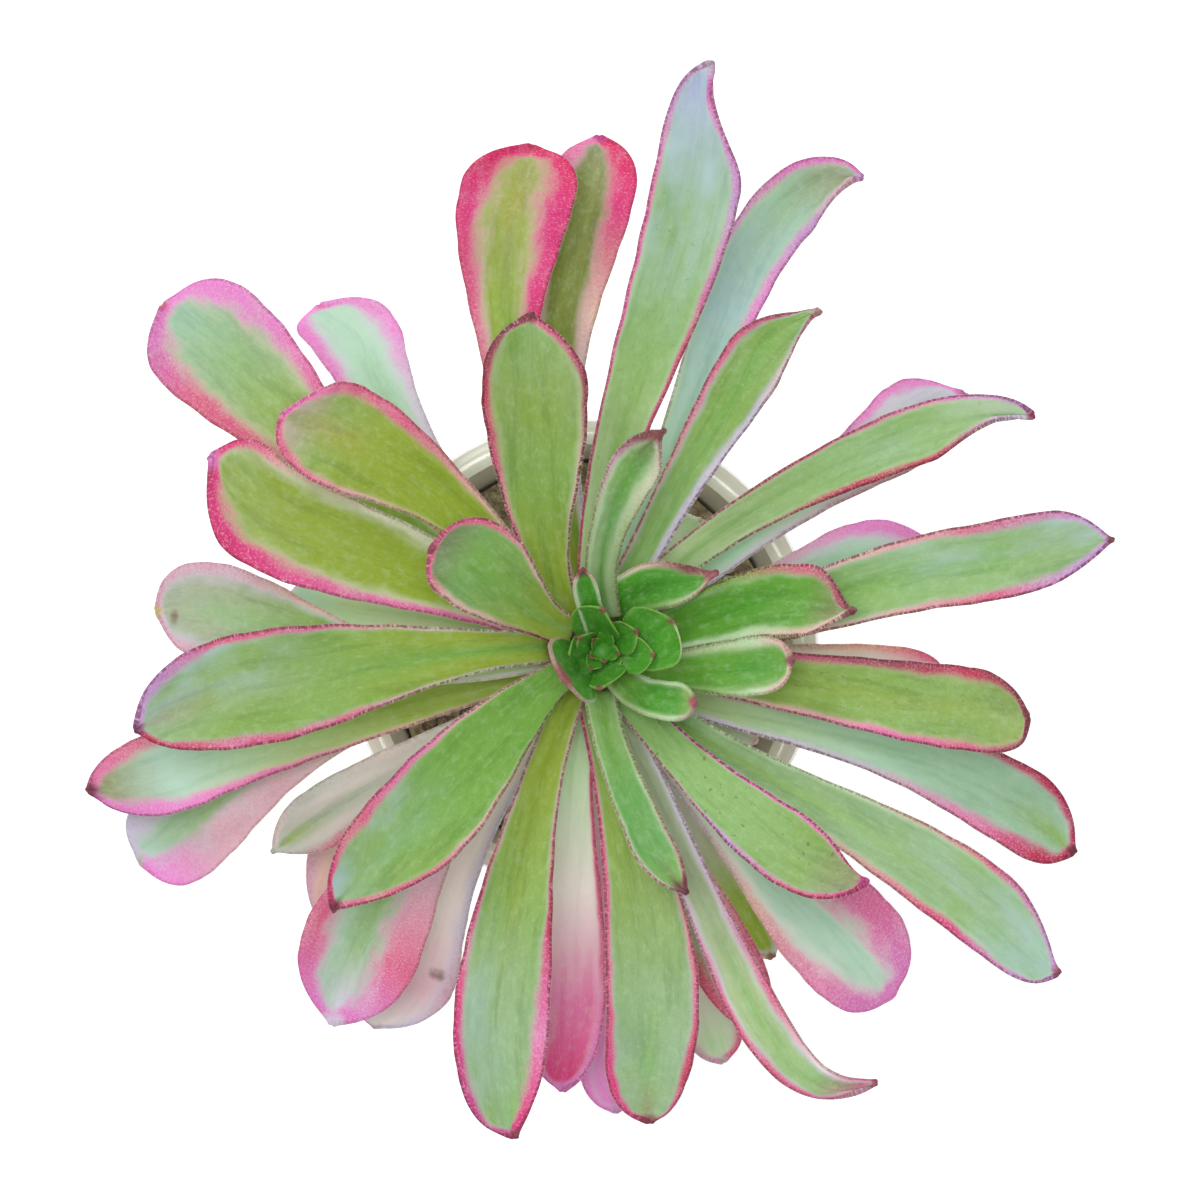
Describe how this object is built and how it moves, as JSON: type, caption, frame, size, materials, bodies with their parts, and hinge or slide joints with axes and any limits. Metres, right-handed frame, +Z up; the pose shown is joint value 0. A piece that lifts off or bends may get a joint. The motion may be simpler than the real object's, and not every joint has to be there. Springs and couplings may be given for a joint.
{
  "type": "potted aeonium succulent",
  "caption": "Potted variegated aeonium: a loose rosette of spoon-shaped green, cream and pink leaves on a short woody stem in a plain round pot.",
  "frame": {"origin": "middle of the pot's flat underside, at the level it stands on", "axes": "+Z up along the pot's axis; +X to the right and +Y to the top of the picture, which looks straight down"},
  "size_m": [0.1198, 0.1235, 0.1157],
  "materials": {
    "pot": "satin",
    "soil": "matte",
    "stem": "matte",
    "heart": "satin",
    "leaf_young": "satin",
    "leaf_banded": "satin",
    "leaf_old": "satin"
  },
  "bodies": {
    "root": {"pot": "pot", "soil": "soil", "stem": "stem", "heart_bud": "heart", "leaf_01": "leaf_young", "leaf_02": "leaf_young", "leaf_03": "leaf_young", "leaf_04": "leaf_young", "leaf_05": "leaf_young", "leaf_06": "leaf_young", "leaf_07": "leaf_young", "leaf_08": "leaf_young", "leaf_09": "leaf_young", "leaf_10": "leaf_young", "leaf_11": "leaf_young", "leaf_12": "leaf_banded", "leaf_13": "leaf_banded", "leaf_14": "leaf_banded", "leaf_15": "leaf_banded", "leaf_16": "leaf_banded", "leaf_17": "leaf_banded", "leaf_18": "leaf_banded", "leaf_19": "leaf_banded", "leaf_20": "leaf_banded", "leaf_21": "leaf_banded", "leaf_22": "leaf_banded", "leaf_23": "leaf_banded", "leaf_24": "leaf_banded", "leaf_25": "leaf_banded", "leaf_26": "leaf_banded", "leaf_27": "leaf_banded", "leaf_28": "leaf_banded", "leaf_29": "leaf_banded", "leaf_30": "leaf_banded", "leaf_31": "leaf_banded", "leaf_32": "leaf_banded", "leaf_33": "leaf_banded", "leaf_34": "leaf_banded", "leaf_35": "leaf_old", "leaf_36": "leaf_old", "leaf_37": "leaf_old", "leaf_38": "leaf_old", "leaf_39": "leaf_old", "leaf_40": "leaf_old", "leaf_41": "leaf_old", "leaf_42": "leaf_old", "leaf_43": "leaf_old", "leaf_44": "leaf_old", "leaf_45": "leaf_old", "leaf_46": "leaf_old", "leaf_47": "leaf_old", "leaf_48": "leaf_old"}
  },
  "joints": []
}
